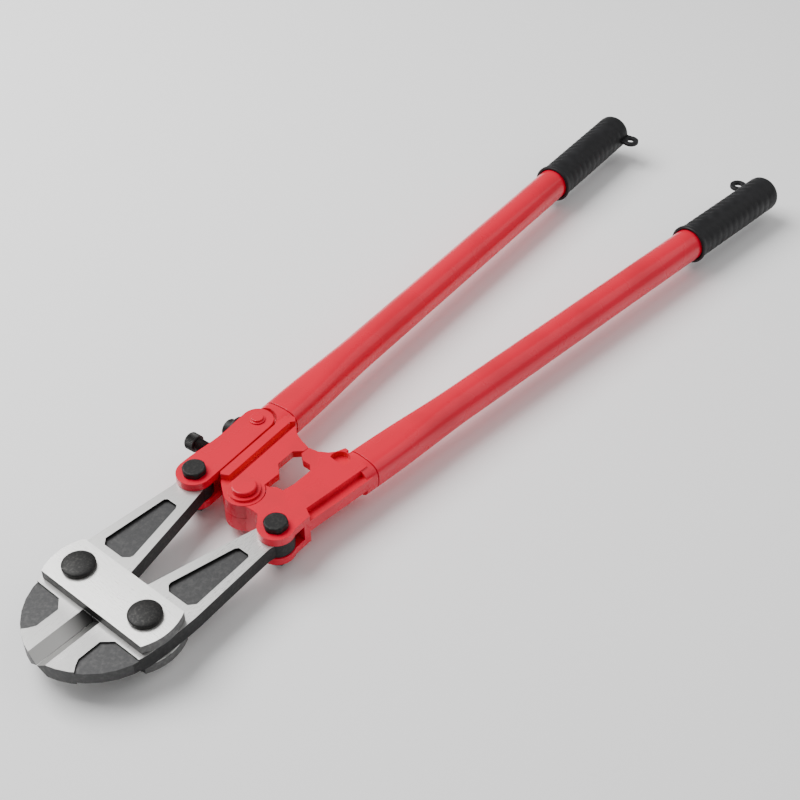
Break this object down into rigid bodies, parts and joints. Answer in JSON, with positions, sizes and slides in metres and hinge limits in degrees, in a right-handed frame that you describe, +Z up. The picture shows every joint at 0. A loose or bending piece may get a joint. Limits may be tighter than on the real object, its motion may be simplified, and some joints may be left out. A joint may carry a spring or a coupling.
{
  "type": "bolt cutters",
  "caption": "Long-handled bolt cutters with forged jaws held between strap plates, red tubular handles joined at a pivot, rubber grips with hanging eyelets and an adjustable toggle link.",
  "frame": {"origin": "middle of the foot of the bounding box, which is the plane of the two strap bolts' lower ends", "axes": "+X from the jaws to the grips along the tool, +Y to the handle with the toggle link and its screws, +Z up through the bolts, heads uppermost"},
  "size_m": [0.7678, 0.1932, 0.0427],
  "materials": {
    "ground_steel": "ground bright alloy steel, lightly grained",
    "black_steel": "black oxide on forged and machined steel, satin",
    "red_paint": "gloss red baked enamel",
    "black_rubber": "moulded black rubber, satin"
  },
  "bodies": {
    "straps": {"strap_top": "ground_steel", "strap_bottom": "ground_steel", "strap_bolt_left": "black_steel", "strap_bolt_right": "black_steel", "strap_washer_left": "black_steel", "strap_washer_right": "black_steel", "strap_nut_left": "black_steel", "strap_nut_right": "black_steel"},
    "jaw_left": {"jaw_left": "ground_steel"},
    "jaw_right": {"jaw_right": "ground_steel"},
    "pivot": {"pivot_pin": "red_paint", "pivot_washer": "red_paint"},
    "handle_left": {"fitting_left": "red_paint", "toggle_pin": "red_paint", "handle_tube_left": "red_paint", "grip_left": "black_rubber"},
    "handle_right": {"fitting_right": "red_paint", "tail_bolt_right": "black_steel", "tail_nut_right": "black_steel", "handle_tube_right": "red_paint", "grip_right": "black_rubber"},
    "toggle": {"toggle_link": "red_paint", "tail_bolt_left": "black_steel", "tail_nut_left": "black_steel", "lock_screw_washer": "black_steel"},
    "adjusting_screw": {"adjusting_screw": "black_steel"},
    "lock_screw": {"lock_screw": "black_steel"}
  },
  "joints": [
    {"name": "handle_left_swing", "type": "hinge", "parent": "pivot", "child": "handle_left", "pos_m": [-0.19981, 0, 0.0241], "axis": [0, 0, 1], "range_deg": [0, 45]},
    {"name": "handle_right_swing", "type": "hinge", "parent": "pivot", "child": "handle_right", "pos_m": [-0.19981, 0, 0.0241], "axis": [0, 0, 1], "range_deg": [-45.5, 0]},
    {"name": "pivot_travel", "type": "slide", "parent": "straps", "child": "pivot", "axis": [1, 0, 0], "range_m": [0, 0.0268]},
    {"name": "jaw_left_swing", "type": "hinge", "parent": "straps", "child": "jaw_left", "pos_m": [-0.31991, 0.032, 0.0241], "axis": [0, 0, 1], "range_deg": [-8.8, 0]},
    {"name": "jaw_right_swing", "type": "hinge", "parent": "straps", "child": "jaw_right", "pos_m": [-0.31991, -0.032, 0.0241], "axis": [0, 0, 1], "range_deg": [0, 8.8]},
    {"name": "adjusting_screw_turn", "type": "hinge", "parent": "handle_left", "child": "adjusting_screw", "pos_m": [-0.17886, 0.05183, 0.0241], "axis": [-0.0795, 0.9968, 0], "range_deg": [-60, 60]},
    {"name": "toggle_adjust", "type": "hinge", "parent": "handle_left", "child": "toggle", "pos_m": [-0.14213, 0.04403, 0.0241], "axis": [0, 0, 1], "range_deg": [-0.45, 0.45]},
    {"name": "lock_screw_turn", "type": "hinge", "parent": "handle_left", "child": "lock_screw", "pos_m": [-0.15245, 0.05394, 0.0241], "axis": [-0.0795, 0.9968, 0], "range_deg": [-16, 16]}
  ],
  "couplings": [
    {"joint": "handle_right_swing", "follows": "handle_left_swing", "ratio": -1},
    {"joint": "pivot_travel", "follows": "handle_left_swing", "m_per_rad": 0.0338},
    {"joint": "jaw_left_swing", "follows": "handle_left_swing", "ratio": -0.1913},
    {"joint": "jaw_right_swing", "follows": "handle_left_swing", "ratio": 0.1913},
    {"joint": "toggle_adjust", "follows": "adjusting_screw_turn", "ratio": 0.0066315},
    {"joint": "lock_screw_turn", "follows": "adjusting_screw_turn", "ratio": -0.26389}
  ]
}
